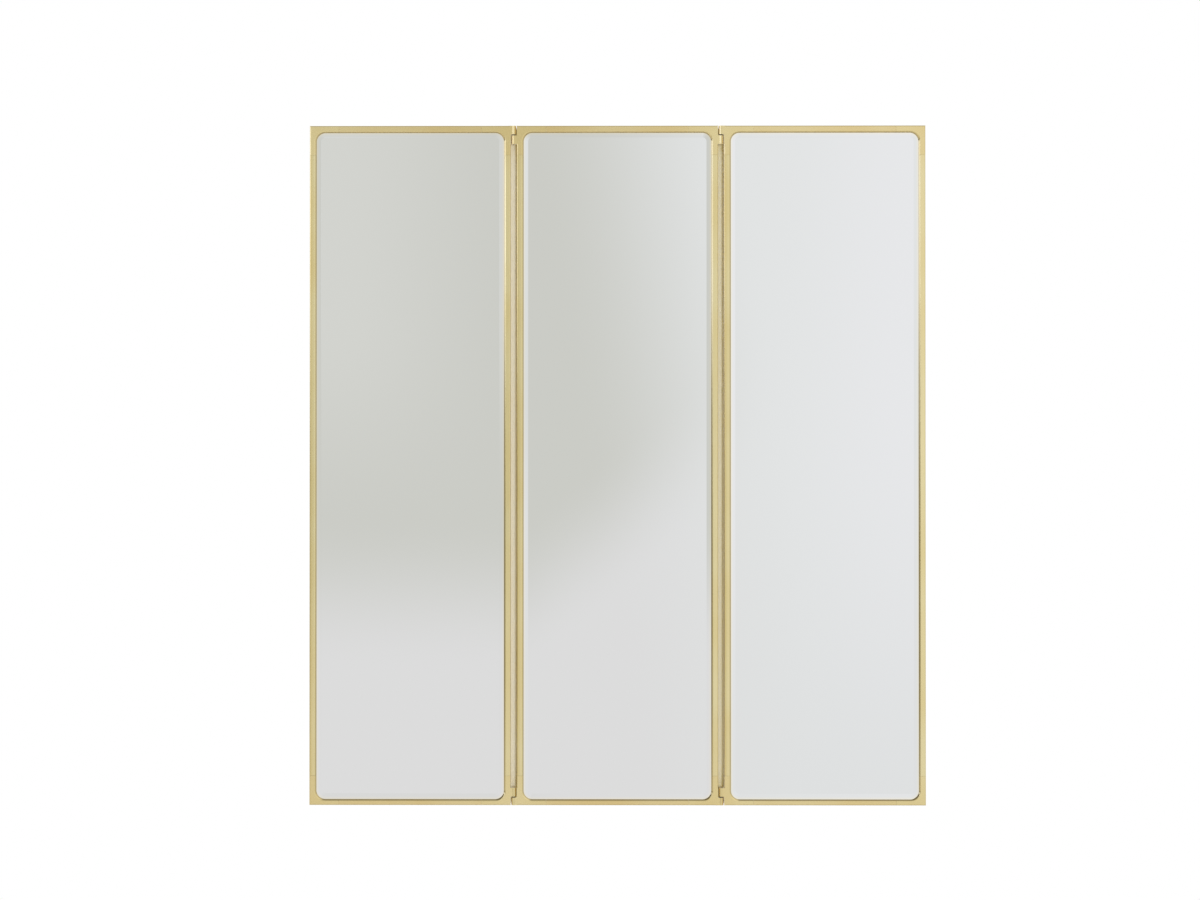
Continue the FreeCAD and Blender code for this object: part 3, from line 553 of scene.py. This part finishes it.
# Painted wall: the matt strips that show in the gaps between the panels. Their colours are painted shade
# and painted brass-coloured light: each gap has its own shaded copy of the wall, browner beside the next
# frame. A strip is only there while two frames shut it in, so nothing stays behind when a wing swings.
wall = {
    # painted shade: a shaded, brass-tinted copy of one pale wall for each gap, and a browner band beside
    # the next frame
    "left": "#E6DFC6", "right": "#DFD7B3",
    "paintedBrassShade": "#DCCB8A",
    "paintedBrassShadeWidth": 3.5,      # mm out from a panel's left side
    "behind": 0.4,         # mm
    "overlap": 2.0,        # mm behind the frames on each side of a gap
    "reach": 20.0,         # mm, how near the frames must be to shut it in
    "shut": (0.3, 0.45),   # open part of its view: all of the wall below, none of it above
    "inBrass": 0.5,        # part of it that the brass gives back
}


def makeWall(name, colour, before, after):
    material, tree = newMaterial(name)
    facing = addNode(tree, "ShaderNodeNewGeometry")
    path = addNode(tree, "ShaderNodeLightPath")
    lost = addNode(tree, "ShaderNodeMath", {0: path.outputs["Is Glossy Ray"], 1: 1 - wall["inBrass"]},
                   operation="MULTIPLY")
    view = addNode(tree, "ShaderNodeAmbientOcclusion", {"Distance": wall["reach"] * mm})
    bare = addNode(tree, "ShaderNodeMapRange",
                   {"Value": view.outputs["AO"], "From Min": wall["shut"][0], "From Max": wall["shut"][1]})
    unseen = addNode(tree, "ShaderNodeMath", {0: facing.outputs["Backfacing"], 1: lost.outputs[0]},
                     operation="MAXIMUM")
    gone = addNode(tree, "ShaderNodeMath", {0: unseen.outputs[0], 1: bare.outputs[0]}, operation="MAXIMUM")
    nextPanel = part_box(after + "_left_stile")[0].x
    position = addNode(tree, "ShaderNodeTexCoord").outputs["Object"]
    axes = addNode(tree, "ShaderNodeSeparateXYZ", {0: position})
    # painted shade and brass-coloured light beside the next panel's frame
    paintedBrassShade = addNode(tree, "ShaderNodeMapRange",
                   {"Value": axes.outputs["X"], "From Min": nextPanel - wall["paintedBrassShadeWidth"] * mm,
                    "From Max": nextPanel}, interpolation_type="SMOOTHSTEP")
    tint = addNode(tree, "ShaderNodeMix",
                   {colourFactor: paintedBrassShade.outputs[0], colourA: hexToLinear(colour),
                    colourB: hexToLinear(wall["paintedBrassShade"])}, data_type="RGBA")
    paint = addNode(tree, "ShaderNodeBsdfDiffuse", {"Color": tint.outputs[colourOut]})
    clear = addNode(tree, "ShaderNodeBsdfTransparent")
    shader = addNode(tree, "ShaderNodeMixShader",
                     {0: gone.outputs[0], 1: paint.outputs[0], 2: clear.outputs[0]})
    addNode(tree, "ShaderNodeOutputMaterial", {"Surface": shader.outputs[0]})
    depth = cadHigh.y + wall["behind"] * mm
    low, high = cadLow.z, cadHigh.z
    overlap = wall["overlap"] * mm
    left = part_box(before + "_right_stile")[1].x - overlap
    right = nextPanel + overlap
    corners = [(left, depth, low), (right, depth, low), (right, depth, high), (left, depth, high)]
    strip = makeStageFace(name, corners, material)
    for ray in ("visible_diffuse", "visible_transmission", "visible_shadow"):
        setattr(strip, ray, False)  # it takes no light from the back of the mirror


makeFloor()
makeWall("wallLeft", wall["left"], "left_wing", "middle")
makeWall("wallRight", wall["right"], "middle", "right_wing")
bpy.context.scene.view_settings.view_transform = "Standard"
print("studio: light, floor and wall")
